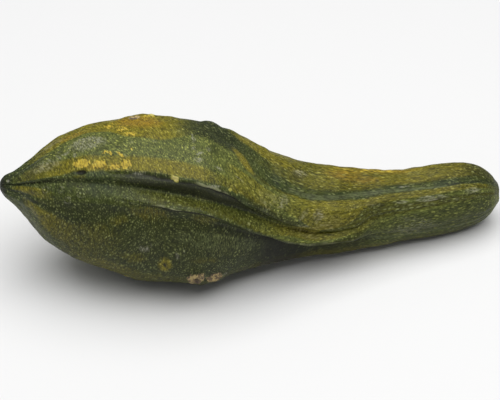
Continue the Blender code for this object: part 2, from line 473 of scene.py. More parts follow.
def relief_of_crests(rind):
    """The lobe and the wing end in a sharp uneven crest, steep underneath. Low ridges run along the back."""
    wander, uneven = unevenness(rind)
    rise = np.zeros_like(rind.turn)
    for line, crest, undercut, reach in SHARP_CRESTS:
        above, strength = rind.above(line)
        above = above + 0.4 * wander + 0.3 * uneven
        top = smooth_step(-0.9, 0.5, above)
        rise += strength * (crest + 0.25 * uneven) * top * np.exp(-np.maximum(above, 0) / reach)
        rise -= strength * undercut * (1 - top) * np.exp(np.minimum(above, 0) / reach)
    for meridian, height in LOW_RIDGES:
        off = rind.off_meridian(meridian) + 0.3 * wander
        rise += height * (0.6 + 0.9 * uneven) * np.exp(-((off / 0.7) ** 2)) * fading(rind, 12, 34, 125, 170)
    return rise


def relief_of_ribs(rind):
    """Low ribs and lines that run along the rind, which gather at both ends."""
    wander = 0.9 * waves(rind.point, size=45, seed=21)
    fine = np.cos((rind.meridian + wander * 0.5) * math.tau / 2.9)
    coarse = np.cos((rind.meridian + wander) * math.tau / 6.4)
    near_blossom = 1 - smooth_step(14, 46, rind.along)
    on_neck = smooth_step(118, 165, rind.along)
    ends = np.minimum(1, body_at(rind.along)[0] / SOFTENED_RADIUS)
    return ends * (near_blossom * (0.28 * coarse + 0.10 * fine) + on_neck * (0.10 * coarse + 0.07 * fine))


def relief_of_marks(rind):
    """Swells, warts, scabs, pits, scars and scratches, each where it grew."""
    rise = np.zeros_like(rind.turn)
    for along, meridian, length, width, height in SWELLS:
        rise += height * dome(rind.oval(along, meridian, length, width))
    crust = waves(rind.point, size=1.9, seed=31)
    for along, meridian, radius, height in SMALL_WARTS:
        reach = rind.oval(along, meridian, radius, radius)
        rise += height * dome(reach) * (1 + 0.25 * crust)
    for along, meridian, length, width, lean, height in SCABS:
        reach = rind.oval(along, meridian, length, width, lean)
        rise += height * (ring(reach, 0.72, 0.26) - 0.3 * dome(reach / 0.62))
        rise += 0.22 * crust * dome(reach / 1.2)
    for along, meridian, length, width, lean, depth in PITS:
        reach = rind.oval(along, meridian, length, width, lean)
        rise += 0.15 * ring(reach, 1.15, 0.22) - depth * (1 - smooth_step(0.35, 1.0, reach))
    for along, meridian, length, width, lean, height in RING_SCARS:
        reach = rind.oval(along, meridian, length, width, lean)
        rise += height * (ring(reach, 0.85, 0.18) - 0.5 * dome(reach / 0.7))
    for along, meridian, length, width, lean in SCRATCHES:
        rise += 0.16 * dome(rind.oval(along, meridian, length, 1.6 * width, lean))
    return rise


def relief_of_ends(rind):
    """The blossom scar's hard nub with a pit in its tip, and the corky scar where the stem came away."""
    rise = 0.25 * ring(rind.along, 4.4, 1.8)
    rise = rise - 0.9 * np.clip(1 - (rind.from_blossom_scar() / 1.5) ** 2, 0, 1) * (rind.along < 2)
    from_end = rind.from_stem_scar()
    rays = np.cos(rind.turn * 5 + 0.6)
    rise += 0.45 * ring(from_end, 4.6, 1.0) - 0.9 * (1 - smooth_step(1.5, 4.2, from_end))
    return rise + 0.15 * rays * ring(from_end, 6.5, 2.2)


def relief_of(rind):
    swells = 0.30 * waves(rind.point, size=20, seed=1)
    swells += 0.10 * waves(rind.point, size=6.5, seed=2)
    swells += 0.04 * waves(rind.point, size=3.0, seed=3)
    calm_ends = np.minimum(1, body_at(rind.along)[0] / SOFTENED_RADIUS)
    return (
        swells * calm_ends
        + relief_of_crests(rind)
        + relief_of_ribs(rind)
        + relief_of_marks(rind)
        + relief_of_ends(rind)
    )


# Stripes of colour that run along the rind, as rows of (along, from meridian, to meridian, strength)
RIPE_BANDS = (
    (
        (8, 24, 33, 0), (16, 22.5, 34, 0.4), (24, 22.5, 34.5, 0.7), (32, 24.5, 34.5, 0.75),
        (40, 26, 35, 0.8), (50, 24.6, 35.5, 0.95), (60, 22, 35.5, 1), (75, 21.5, 34.5, 0.95),
        (82, 22.5, 33.5, 0.55), (90, 24, 32, 0.15), (104, 26, 31, 0),
    ),
    (
        (6, 14.5, 19, 0.1), (14, 14.5, 19, 0.4), (30, 15.5, 18.9, 0.6), (38, 16.3, 18.9, 0.8),
        (62, 16.4, 18.5, 0.85), (90, 16.1, 18.3, 0.75), (104, 15.6, 18, 0.4), (112, 15.6, 18.5, 0.5),
        (124, 16, 20, 0.3),
    ),
    ((102, 17.5, 21, 0), (110, 17, 21.5, 0.5), (118, 17.5, 22, 0.5), (130, 18, 23, 0.3)),
    ((102, 30.6, 34, 0), (112, 30.2, 34, 0.75), (126, 29.6, 34, 0.65), (142, 29, 34, 0.4)),
    (
        (116, 28, 34, 0), (148, 28.2, 34.5, 0.5), (192, 28.4, 34.5, 0.6), (214, 28.4, 34.5, 0.55),
        (222, 28.6, 34, 0.25), (232, 28.6, 34, 0.25),
    ),
    (
        (140, 30.6, 34.6, 0), (154, 30.6, 35, 0.9), (166, 31, 35, 0.9), (196, 31, 35, 0.85),
        (210, 31, 34, 0.3),
    ),
    (
        (122, 18, 25.6, 0), (136, 17.8, 25.6, 0.5), (147, 15, 26, 0.65), (156, 15.5, 26, 0.6),
        (172, 20.5, 25.4, 0.5), (192, 20, 25, 0.5), (228, 20.5, 25, 0.4),
    ),
    (
        (108, 5, 9.8, 0), (120, 5.5, 9.9, 0.25), (134, 7, 10.2, 0.6), (152, 7, 10.2, 0.6),
        (162, 7, 10, 0.4), (180, 7, 10, 0.1),
    ),
    ((6, 6, 8.6, 0.2), (12, 5.2, 8.4, 0.6), (20, 4, 7.4, 0.5), (32, 3, 6, 0)),
    (
        (10, 0.4, 2.6, 0), (16, -0.8, 2.2, 0.5), (24, -2.8, 0.2, 0.5), (34, -3.4, -1, 0.35),
        (52, -3.3, -1, 0.25), (64, -3, -1.4, 0),
    ),
    ((92, -2.4, -0.8, 0), (104, -2.6, -0.8, 0.2), (120, -3, -1, 0)),
    (
        (14, 40, 44, 0), (30, 39.8, 44.5, 0.7), (66, 40, 44, 0.9), (96, 40.6, 43.6, 0.6),
        (132, 40.5, 43.5, 0.4), (226, 40, 44, 0.4),
    ),
    (
        (22, 48.4, 51.6, 0), (48, 48.2, 52, 0.7), (84, 48.6, 51.6, 0.45), (118, 49, 51, 0.2),
        (160, 48.6, 51.6, 0.5), (220, 48.6, 51.6, 0.3),
    ),
    (
        (20, 57.4, 60.4, 0), (44, 57.2, 60.8, 0.4), (70, 57.6, 60.4, 0.3), (100, 58, 60, 0.2),
        (150, 57.4, 60.6, 0.4), (214, 57.6, 60.4, 0.2),
    ),
)

# Bright yellow patches, the long one on the neck's top also a painted highlight: (along, meridian, length,
# width, lean, strength)
GOLD_AND_HIGHLIGHT_SPOTS = (
    (39.8, 17.7, 5.6, 3.2, 4, 1),
    (48, 17.3, 4.8, 2.9, -8, 1),
    (54.8, 16.9, 4, 1.9, -6, 0.9),
    (60, 17.3, 3.6, 3.2, 20, 1),
    (49.4, 19.2, 3.4, 1, 45, 0.7),
    (51.8, 19.2, 3.4, 1, -45, 0.7),
    (57, 18.9, 5.6, 1, -40, 0.85),
    (61, 19.6, 3.4, 0.9, -35, 0.6),
    (51, 27.4, 5, 4.4, -20, 0.42),
    (57, 25, 6, 4.6, -35, 0.45),
    (61.5, 22.6, 5, 3.4, -30, 0.42),
    (68, 31, 5, 2.4, 0, 0.8),
    # Along the neck's top: yellow skin and a painted highlight both
    (170, 31.8, 34, 2.6, 0, 0.45),
    (48, 42.2, 7, 3, 0, 0.8),
    (60, 41.4, 5, 3, 30, 0.7),
    (54, 50, 7, 3, -10, 0.5),
)

# Dark green skin; along the underside, on the fold's wall and under the wing it is also painted shade
DEEP_AND_SHADE_BANDS = (
    (
        (76, 24, 31.5, 0), (84, 23.4, 32.5, 0.4), (92, 24, 32.5, 0.8), (102, 24, 31.5, 0.9),
        (112, 25, 30.5, 0.4), (120, 25, 30, 0),
    ),
    (
        (16, -9, 3, 0), (34, -9, 4, 0.7), (60, -9, 3.6, 0.65), (80, -9, 3, 0.65), (110, -9, 3, 0.9),
        (124, -9, 3, 0.9), (160, -9, 7, 0.5), (230, -9, 10, 0.6),
    ),
    (
        (50, 10.5, 14.2, 0), (62, 10.3, 15.9, 0.7), (76, 10, 15.7, 1), (106, 10, 14.5, 1),
        (116, 10.2, 13, 0.7), (132, 10.4, 12.2, 0.35), (156, 10.4, 12.2, 0.1),
    ),
    ((54, 3.2, 5.2, 0), (66, 3.8, 5.4, 0.5), (80, 3.4, 5, 0.6), (100, 3, 4.6, 0.6), (114, 2, 4.6, 0)),
    (
        (112, 11.5, 15, 0), (120, 12, 15.8, 0.7), (128, 12.5, 16.6, 0.65), (137, 13.4, 17.8, 0.6),
        (143, 14, 17.2, 0.3), (150, 14, 16, 0),
    ),
    ((122, 3, 6.4, 0), (134, 2.5, 5.4, 0.6), (156, 2.5, 5.4, 0.5), (168, 3, 5, 0)),
    ((202, 28.5, 34, 0), (214, 28.5, 34, 0.7), (234, 28.5, 34, 0.7)),
    (
        (186, 25, 27, 0), (206, 24.7, 26.4, 0.8), (221, 25.3, 27.1, 1), (229, 26.9, 28.5, 1),
        (234, 26.9, 29.2, 0.8),
    ),
    (
        (0, -6, 70, 0.9), (3, -6, 70, 0.55), (7, 8.5, 11, 0.7), (20, 9, 12, 0.8), (40, 9.5, 12.6, 0.5),
        (56, 10, 13, 0),
    ),
    (
        (4, 4.4, 6.4, 1), (10, 3.4, 5, 1), (16, 2.6, 4, 1), (22, 0.8, 2.4, 0.8), (30, -0.4, 1.6, 0.5),
        (36, -0.4, 1, 0),
    ),
    ((5, 19.2, 21.6, 0.8), (20, 19.6, 22, 0.6), (36, 20, 22, 0.2), (40, 20, 22, 0)),
    (
        (60, -1, 1.5, 0), (84, -2, 1.8, 0.3), (120, -3, 2, 0.45), (150, -3, 2, 0.7), (200, -2, 3, 0.4),
        (232, -2, 3, 0.3),
    ),
)

# Crisp dark green stripes in the furrows
STRIPES = (
    (
        (108, 26.4, 28.4, 0), (126, 26.1, 27.9, 0.1), (136, 26.1, 27.6, 0.6), (151, 26.2, 27.5, 1),
        (166, 26.7, 28, 1), (182, 25.7, 27.2, 1), (197, 25.2, 26.7, 0.8), (212, 24.7, 26.2, 0.3),
        (221, 25.5, 27, 0.2), (234, 27, 29, 0.1),
    ),
    (
        (8, 35.4, 38.6, 0.2), (40, 35.8, 38.2, 0.5), (90, 35.6, 38.6, 0.7), (150, 36, 38.2, 1),
        (232, 36, 38.2, 1),
    ),
    (
        (8, 45, 47, 0.2), (46, 45.2, 46.8, 0.6), (110, 45, 47.2, 0.8), (150, 45.2, 47.2, 1),
        (232, 45.2, 47.2, 0.9),
    ),
    ((8, 52.8, 55.2, 0.2), (60, 53, 55, 0.5), (130, 53, 55.2, 0.8), (232, 53, 55.2, 0.8)),
    ((8, 61.8, 63.4, 0.2), (60, 61.8, 63, 0.3), (120, 61.6, 63.2, 0.5), (232, 61.6, 63.2, 0.5)),
)

# Olive skin
OLIVE_BANDS = (
    (
        (12, -8, 3.4, 0.4), (40, -8, 3.8, 0.5), (80, -8, 1, 0.6), (110, -8, 1, 0.8), (150, -8, 8, 0.6),
        (164, -8, 17, 0.7), (234, -8, 17, 0.7),
    ),
    (
        (56, 5.4, 9.6, 0), (74, 5.4, 9.6, 0.6), (112, 5.4, 9.2, 0.8), (160, 4.4, 9.8, 0.9),
        (234, 4, 12, 0.7),
    ),
    (
        (98, 15.5, 24, 0), (108, 15.5, 24, 0.55), (122, 13, 26, 0.75), (170, 12.6, 26, 0.8),
        (234, 17, 25, 0.6),
    ),
    ((112, 28.4, 34, 0), (128, 28.4, 35, 0.7), (170, 28.2, 35, 0.9), (234, 28.4, 35, 0.7)),
    ((10, 34, 64, 0.4), (60, 34, 64, 0.55), (130, 34, 64, 0.7), (234, 34, 64, 0.7)),
)

# Painted shade deep in the fold, on the wall under the lobe's edge that faces down
FOLD_SHADE_BAND = (
    (54, 11.4, 14.6, 0),
    (64, 12, 16.4, 0.55),
    (75, 11.6, 16.6, 0.65),
    (84, 10.6, 16.4, 0.65),
    (106, 10.4, 15.6, 0.75),
    (116, 10.4, 12.6, 0.35),
    (134, 10.6, 12, 0.1),
)

# Painted shade, almost black, under the wing's end
SHADED_BAND = (
    (104, -4, 0.5, 0),
    (116, -5, 3.4, 0.4),
    (128, -6, 4.2, 0.7),
    (144, -7, 3.6, 0.4),
    (158, -7, 3.6, 0.35),
    (172, -6, 1.5, 0.25),
    (186, -5, 1, 0),
)

# Smooth skin with few flecks
PLAIN_BANDS = (
    (
        (112, -12, -2, 0), (126, -12, 2, 0.5), (150, -12, 4, 0.8), (172, -12, 9, 0.7), (212, -12, 11, 0.6),
        (234, -12, 12, 0.4),
    ),
    ((36, -14, -7, 0), (60, -14, -7, 0.5), (100, -14, -6, 0.5)),
)

# Grey-green skin with a bloom on it; along the wing's inner slope it is painted light, to lift the fold's
# shade
BLOOM_AND_PAINTED_LIGHT_BANDS = (
    # Along the wing's inner slope and its end: painted light against the fold's shade
    (
        (62, 7, 10, 0), (72, 7, 10.2, 0.35), (106, 6.8, 10, 0.35), (132, 5.2, 12, 0.9), (156, 6, 12, 0.8),
        (172, 7, 9.6, 0),
    ),
    (
        (16, 18.5, 22.5, 0), (24, 18.8, 24, 0.9), (44, 18.8, 26, 1), (60, 18.4, 22.6, 1), (84, 18.2, 25, 1),
        (104, 17, 25, 0.85), (118, 17, 24.6, 0.75), (134, 16, 25, 0.8), (150, 17, 25, 0.5),
        (170, 19, 24, 0),
    ),
    (
        (176, 18, 20.6, 0), (190, 17.4, 20.8, 0.8), (208, 17, 20.6, 0.7), (226, 16.6, 20.4, 0.9),
        (234, 16, 20, 0.2),
    ),
    ((132, 28.6, 31, 0), (142, 28.8, 31, 0.4), (160, 29, 30.6, 0.2), (170, 29, 30, 0)),
    ((160, -8, 8, 0), (176, -8, 9, 0.8), (234, -8, 10, 0.8)),
    ((60, 34.6, 39.6, 0), (78, 34.6, 39.6, 0.8), (110, 35, 39, 0.5), (140, 35, 39, 0)),
    ((40, 44, 48, 0), (66, 44, 48, 0.6), (100, 44, 48, 0.5), (140, 44, 48, 0.1)),
)

# Dusty or worn patches, and painted highlights and sheen on the blossom nub, the crown and along the neck:
# (along, meridian, length, width, lean, strength)
DUST_AND_SHEEN_SPOTS = (
    (4.6, 17.5, 1.4, 1.2, 0, 1),
    (24, -0.7, 2.2, 1.4, 30, 0.5),
    (22, 18.4, 12, 5, 0, 0.6),
    (42, 21.6, 14, 7, 0, 0.75),
    (24, 28, 10, 6, 0, 0.4),
    (139, 8.6, 16, 3.5, 0, 0.35),
    (190, 5, 22, 9, 0, 0.4),
    (28.5, 19.6, 3, 1, -40, 0.8),
    (32.5, 20.3, 2, 1.1, 40, 0.7),
    (36.5, 19.4, 1.2, 2.2, 0, 1),
    (62, 30.4, 3.2, 1.4, -10, 0.9),
    (66.5, 16.1, 5, 1.5, 5, 0.6),
    (89.2, 22.8, 1.3, 3.8, 0, 0.8),
    (89.5, 21, 1.2, 2.6, 0, 0.8),
    (92.3, 20.3, 3.4, 1.2, 35, 0.9),
    (91.5, 19.2, 3.8, 2.2, 10, 0.7),
    (95.5, 21.6, 2.2, 2.8, 0, 0.5),
    (90.5, 30.2, 1.6, 1.2, 0, 0.7),
    (100.5, 18.8, 2.2, 0.7, 0, 1),
    (100.5, 18.8, 5, 1.6, 0, 0.45),
    (98, 15.2, 5.5, 1.1, 10, 0.8),
    (62, 20.6, 2.2, 1.4, 0, 0.4),
    (72, 21, 2.4, 1.6, 0, 0.4),
    (137, 29.6, 7, 3.6, 20, 0.6),
    (145.5, 19.9, 4.5, 6, 0, 0.6),
    (129, 21, 4, 7, -20, 0.5),
    (138.5, 19.4, 3, 6, -20, 0.5),
    (124, 18.6, 16, 10, 20, 0.3),
    (150, 18, 14, 9, 0, 0.3),
    (172, 20.3, 9, 1.3, -10, 0.4),
    (184, 19.2, 6, 1.3, -6, 0.6),
    (200, 18.2, 13, 2.2, -4, 0.7),
    (219, 19, 7.5, 2.4, 0, 0.55),
    (79, 36, 4, 2.4, 20, 0.7),
    (93, 38.6, 5, 2, -25, 0.6),
    (64, 47, 3.6, 2, -20, 0.7),
    (110, 50.6, 4, 1.6, 30, 0.6),
    (122, 39, 5, 2.2, 10, 0.6),
    (158, 43, 7, 1.5, 5, 0.7),
    (196, 47.8, 8, 1.5, 0, 0.7),
)

# Patches of dark skin: (along, meridian, length, width, lean, strength)
DARK_SPOTS = (
    (98, 22.4, 5, 7, 0, 0.5),
    (100, 26.5, 6.5, 7, -20, 0.7),
    (104, 29, 5, 5, -30, 0.5),
    (83.5, 31, 3, 2, 0, 0.8),
    (93, 31.2, 4.5, 2.5, 0, 0.8),
    (72.5, 30.6, 4.5, 0.9, 5, 0.9),
    (48.5, 0.1, 5, 3, 0, 0.6),
    (36, 1, 9, 4, 0, 0.5),
    (64, 4.6, 6, 2, 0, 0.5),
    (88, 36, 8, 5, 0, 0.6),
    (70, 54, 9, 5, 10, 0.6),
)

# Ripe, yellow patches that stand alone: (along, meridian, length, width, lean, strength)
RIPE_SPOTS = (
    (76.4, -3.2, 4.4, 5.8, -20, 1),
    (94, -2.9, 10, 3.6, 0, 0.35),
    (107, 15.6, 3, 1.6, -20, 0.6),
    (39, 14.6, 5, 1.4, 0, 0.4),
    (68.5, 30.6, 5, 2.6, 0, 0.9),
    (111, 25.6, 11, 4.6, -15, 1),
    (46, -1.5, 11, 6, 10, 0.3),
    (70, 1.6, 15, 6, -8, 0.32),
    (62, -2.8, 10, 5, 0, 0.4),
    (140, 9.8, 12, 2.5, 0, 0.8),
    (94, 1.6, 12, 4, 0, 0.35),
    (56, -0.6, 8, 4, 20, 0.35),
    (58, 45, 6, 3, 20, 0.5),
    (91, 53, 7, 4, -10, 0.5),
    (128, 60, 8, 3, 0, 0.4),
)

# Where the ripe skin turns orange: (along, meridian, length, width, lean, strength)
ORANGE_SPOTS = (
    (64, 27.5, 16, 9, -15, 0.9),
    (34, 27.5, 10, 5, 10, 0.5),
    (174, 32, 32, 5, 0, 0.5),
    (162, 30.6, 22, 6, -5, 0.65),
    (50, 17.2, 14, 3, 0, 0.5),
    (70, 1.6, 16, 7, -8, 0.25),
    (94, 1.6, 12, 5, 0, 0.3),
    (60, 42, 20, 6, 10, 0.8),
    (186, 41.5, 24, 4, 0, 0.6),
    (44, 50.5, 14, 5, 0, 0.5),
)


def strongest(shape, masks):
    """The strongest of several masks at each point."""
    most = np.zeros(shape)
    for mask in masks:
        most = np.maximum(most, mask)
    return most


def oval_spots(rind, spots):
    return [
        strength * (1 - smooth_step(0.3, 1.0, rind.oval(along, meridian, length, width, lean)))
        for along, meridian, length, width, lean, strength in spots
    ]


def cork_of(rind):
    """Where the skin has healed with cork: on scabs and on the stem scar."""
    masks = [1 - smooth_step(0.85, 1.25, rind.oval(*place)) for *place, _ in SCABS]
    masks.append(0.55 * (1 - smooth_step(2.5, 4.6, rind.from_stem_scar())))
    return strongest(rind.turn.shape, masks)


def warty_of(rind):
    """Where the skin is pale yellow on the small warts, the more so the higher they are."""
    masks = [
        min(1, 0.4 + height) * (1 - smooth_step(0.5, 1.2, rind.oval(along, meridian, radius, radius)))
        for along, meridian, radius, height in SMALL_WARTS
    ]
    return strongest(rind.turn.shape, masks)


def pale_of(rind):
    """Where the rind is rubbed pale on scratches and old scars, and the dusty patches, some of them painted
    highlights and sheen.
    """
    masks = [0.9 * (1 - smooth_step(0.5, 1.2, rind.oval(*scratch))) for scratch in SCRATCHES]
    masks += [min(0.8, 2.6 * height) * ring(rind.oval(*place), 0.85, 0.22) for *place, height in RING_SCARS]
    return strongest(rind.turn.shape, masks + oval_spots(rind, DUST_AND_SHEEN_SPOTS))


def shade_of(rind):
    """Painted shade, almost black: in pits, scab middles, under the wing's end and the stem scar's pit; and
    the nub's own dark.
    """
    masks = [1 - smooth_step(0.5, 1.0, rind.oval(*place)) for *place, _ in PITS]
    masks += [min(0.7, height) * (1 - smooth_step(0.2, 0.6, rind.oval(*place))) for *place, height in SCABS]
    masks.append(rind.band(SHADED_BAND, 3))
    masks.append(0.65 * (1 - smooth_step(1.5, 6.0, rind.along)))
    masks.append(0.5 * (1 - smooth_step(1.5, 3.2, rind.from_stem_scar())))
    return strongest(rind.turn.shape, masks)


def grain_of(rind, round_bulb, along_neck):
    """Places that the skin's marks are sown by, in millimetres.

    They are drawn together where the marks are long: round the bulb, and along the neck, by the two numbers.
    On the bulb they also lean, and everywhere uneven growth bends them.
    """
    on_neck = smooth_step(105, 150, rind.along)
    stretch = (1 + (along_neck - 1) * on_neck)[:, 0]
    steps = np.diff(rind.along[:, 0]) / ((stretch[1:] + stretch[:-1]) / 2)
    onward = np.concatenate([[0], np.cumsum(steps)])[:, None]
    radius, height, place = body_at(rind.along)
    drawn = 1 / (1 + (1 - on_neck) * (round_bulb - 1))
    lean = 0.5 - 0.3 * smooth_step(90, 200, rind.along)
    leaned = onward + lean * radius * np.sin(rind.turn - math.radians(110))
    ahead = drawn * (rind.point[..., 1] - place)
    up = drawn * (rind.point[..., 2] - height)
    straight = np.stack([leaned, ahead, up], axis=-1)
    bend = np.stack([waves(straight, size=24, seed=seed) for seed in (51, 52, 53)], axis=-1)
    return straight + 1.6 * bend


def crest_of(rind):
    """How far above the nearer sharp crest each point is, how sharp it is there, and where its top is rubbed
    and painted with a highlight.
    """
    lobe, lobe_strength = rind.above(LOBE_EDGE)
    wing, wing_strength = rind.above(WING_EDGE)
    wander, uneven = unevenness(rind)
    on_lobe = np.abs(lobe) < np.abs(wing)
    above = np.where(on_lobe, lobe, wing) + 0.4 * wander + 0.3 * uneven
    strength = np.where(on_lobe, lobe_strength, wing_strength) * (1 - smooth_step(6, 9, np.abs(above)))
    along_wing = np.maximum(fading(rind, 70, 78, 94, 100), 0.3 * fading(rind, 128, 134, 152, 160))
    rubbed = np.where(on_lobe, fading(rind, 90, 93, 103, 107), along_wing)
    return above, strength, rubbed * np.minimum(1, 3 * strength)


def masks_of(rind):
    """Where each kind of skin is, 0 to 1, and how far each point is above the nearer sharp crest."""
    shape = rind.turn.shape
    above_crest, crest, rubbed = crest_of(rind)

    def spread(bands, soft, spots=()):
        return strongest(shape, [rind.band(rows, soft) for rows in bands] + oval_spots(rind, spots))

    return {
        "ripe": spread(RIPE_BANDS, 0.9, RIPE_SPOTS),
        "orange": strongest(shape, oval_spots(rind, ORANGE_SPOTS)),
        "gold": strongest(shape, oval_spots(rind, GOLD_AND_HIGHLIGHT_SPOTS)),
        # deep: dark green skin, and painted shade along the underside, in the fold and under the wing
        "deep": spread(DEEP_AND_SHADE_BANDS, 1.2, DARK_SPOTS),
        "stripe": spread(STRIPES, 0.5),
        "olive": spread(OLIVE_BANDS, 2.5),
        # bloom: grey-green bloom, and painted light along the wing's inner slope
        "bloom": spread(BLOOM_AND_PAINTED_LIGHT_BANDS, 2.0),
        # hollow: painted shade deep in the fold
        "hollow": rind.band(FOLD_SHADE_BAND, 1.6),
        "plain": spread(PLAIN_BANDS, 3),
        "crest": crest,
        "above_crest": above_crest,
        # rubbed: where the crest's top is both rubbed pale and painted with a highlight
        "rubbed": rubbed,
        "cork": cork_of(rind),
        "warty": warty_of(rind),
        # pale: rubbed and dusty skin, partly painted highlights and sheen
        "pale": pale_of(rind),
        "shade": shade_of(rind),
    }


def add_ball():
    """A ball of rings and meridians, and which ring and column of the grid each of its points stands for."""
    bpy.ops.mesh.primitive_uv_sphere_add(segments=SEGMENTS, ring_count=RINGS, radius=1, calc_uvs=False)
    ball = bpy.context.object
    points = np.empty(len(ball.data.vertices) * 3, np.float32)
    ball.data.vertices.foreach_get("co", points)
    x, y, z = points.reshape(-1, 3).astype(float).T
    rows = np.rint(np.arccos(np.clip(-z, -1, 1)) / math.pi * RINGS).astype(int)
    columns = np.rint(np.arctan2(y, x) / math.tau * SEGMENTS).astype(int) % SEGMENTS
    return ball, rows, columns


def lay_rind_map(mesh, rind, rows, columns):
    """A UV map with the fruit's length across it and its girth up it, closed over the last meridian."""
    layer = mesh.uv_layers.new(name="rind_map")
    corners = np.empty(len(mesh.loops), int)
    mesh.loops.foreach_get("vertex_index", corners)
    starts = np.empty(len(mesh.polygons), int)
    mesh.polygons.foreach_get("loop_start", starts)
    sizes = np.diff(np.append(starts, len(corners)))
    face = np.repeat(np.arange(len(starts)), sizes)
    u = rind.along[rows[corners], 0] / LENGTH
    v = columns[corners] / SEGMENTS
    highest = np.zeros(len(starts))
    np.maximum.at(highest, face, v)
    v = np.where((highest[face] > 0.75) & (v < 0.25), v + 1, v)
    layer.data.foreach_set("uv", np.stack([u, v], axis=-1).astype(np.float32).ravel())


# How much the skin's marks are drawn together round the bulb and along the neck: flecks, and longer strands
GRAINS = {"grain": (1.4, 2.7), "strand": (3.0, 5.0)}


def make_rind(rind, masks):
    ball, rows, columns = add_ball()
    point = rind.point + rind.normal * relief_of(rind)[..., None]
    point[..., 0] = np.clip(point[..., 0], 0, LENGTH) - LENGTH / 2
    point[..., 2] = np.maximum(point[..., 2], 0)
    mesh = ball.data
    mesh.vertices.foreach_set("co", (point[rows, columns] * MM).astype(np.float32).ravel())
    for name, mask in masks.items():
        layer = mesh.attributes.new(name, "FLOAT", "POINT")
        layer.data.foreach_set("value", mask[rows, columns].astype(np.float32))
    for name, (round_bulb, along_neck) in GRAINS.items():
        layer = mesh.attributes.new(name, "FLOAT_VECTOR", "POINT")
        vectors = grain_of(rind, round_bulb, along_neck)[rows, columns]
        layer.data.foreach_set("vector", vectors.astype(np.float32).ravel())
    lay_rind_map(mesh, rind, rows, columns)
    mesh.update()
    bpy.ops.object.mode_set(mode="EDIT")
    bpy.ops.mesh.select_all(action="SELECT")
    bpy.ops.mesh.normals_make_consistent(inside=False)
    bpy.ops.object.mode_set(mode="OBJECT")
    bpy.ops.object.shade_smooth()
    ball.name = mesh.name = "rind"
    return ball


class Value:
    """A number or colour in a material. Python's operators on it add Math nodes."""

    def __init__(self, finish, socket):
        self.finish = finish
        self.socket = socket

    def __add__(self, other):
        return self.finish.maths("ADD", self, other)

    __radd__ = __add__

    def __sub__(self, other):
        return self.finish.maths("SUBTRACT", self, other)

    def __rsub__(self, other):
        return self.finish.maths("SUBTRACT", other, self)

    def __mul__(self, other):
        return self.finish.maths("MULTIPLY", self, other)

    __rmul__ = __mul__

    def within(self, low, high):
        """0 up to low and 1 from high, and smooth between them."""
        settings = {"interpolation_type": "SMOOTHSTEP"}
        inputs = {"Value": self, "From Min": low, "From Max": high}
        return self.finish.node("ShaderNodeMapRange", settings, inputs)[0]


class Finish:
    """A material under construction."""

    def __init__(self, name):
        self.material = bpy.data.materials.new(name)
        self.material.use_nodes = True
        self.tree = self.material.node_tree
        self.shader = self.tree.nodes["Principled BSDF"]

    def set(self, socket, value):
        if isinstance(value, Value):
            self.tree.links.new(value.socket, socket)
        else:
            socket.default_value = value

    def node(self, kind, settings, inputs):
        """Adds a node, gives it its settings and then its inputs, and returns its outputs."""
        made = self.tree.nodes.new(kind)
        for name, value in settings.items():
            setattr(made, name, value)
        for name, value in inputs.items():
            self.set(made.inputs[name], value)
        return [Value(self, socket) for socket in made.outputs]

    def maths(self, operation, a, b):
        return self.node("ShaderNodeMath", {"operation": operation}, {0: a, 1: b})[0]

    def mix(self, share, start, end, way="MIX"):
        """A colour part of the way from one to another."""
        settings = {"data_type": "RGBA", "blend_type": way}
        return self.node("ShaderNodeMix", settings, {0: share, 6: start, 7: end})[2]

    def attribute(self, name):
        return self.node("ShaderNodeAttribute", {"attribute_name": name}, {})

    def noise(self, where, size, detail=2.0, roughness=0.5):
        inputs = {"Vector": where, "Scale": 1 / size, "Detail": detail, "Roughness": roughness}
        return self.node("ShaderNodeTexNoise", {}, inputs)[0]


def rgb(red, green, blue):
    """A colour as the eye names it, 0 to 255, made linear for the shader."""
    shares = (red / 255, green / 255, blue / 255)
    return (*(s / 12.92 if s <= 0.04045 else ((s + 0.055) / 1.055) ** 2.4 for s in shares), 1)


# The ground colours, from green to ripe, and the threads of the weave over them
GREEN = rgb(72, 80, 30)
BLUE_GREEN = rgb(60, 72, 36)
OLIVE = rgb(86, 85, 22)
GREY_GREEN = rgb(98, 106, 50)
DEEP_GREEN = rgb(44, 52, 22)
STRIPE_GREEN = rgb(94, 102, 64)
RIPE = rgb(130, 121, 27)
ORANGE = rgb(158, 128, 32)
GOLD = rgb(202, 176, 62)
SHADED_THREAD = rgb(146, 146, 138)
LIT_THREAD = rgb(255, 255, 255)

# The flecks on green skin, on bloom and on ripe skin, and what brightens the brightest
FLECK = rgb(144, 151, 94)
BLOOM_FLECK = rgb(184, 188, 94)
RIPE_FLECK = rgb(190, 178, 80)
GLINT = rgb(220, 220, 170)

# What has healed, worn or grown rough, with painted sheen and highlights among the dust and wear, and the
# painted shade
RUBBED_AND_HIGHLIT = rgb(166, 168, 126)
DUST_AND_SHEEN = rgb(152, 150, 132)
WART = rgb(196, 184, 112)
LOW_WART = rgb(150, 146, 66)
CORK = rgb(178, 158, 108)
BROWN_CRUST = rgb(84, 72, 66)
DARK_CRUST = rgb(52, 43, 48)
FOLD_SHADE = rgb(58, 59, 46)
SHADE_AND_NUB_DARK = rgb(25, 25, 19)


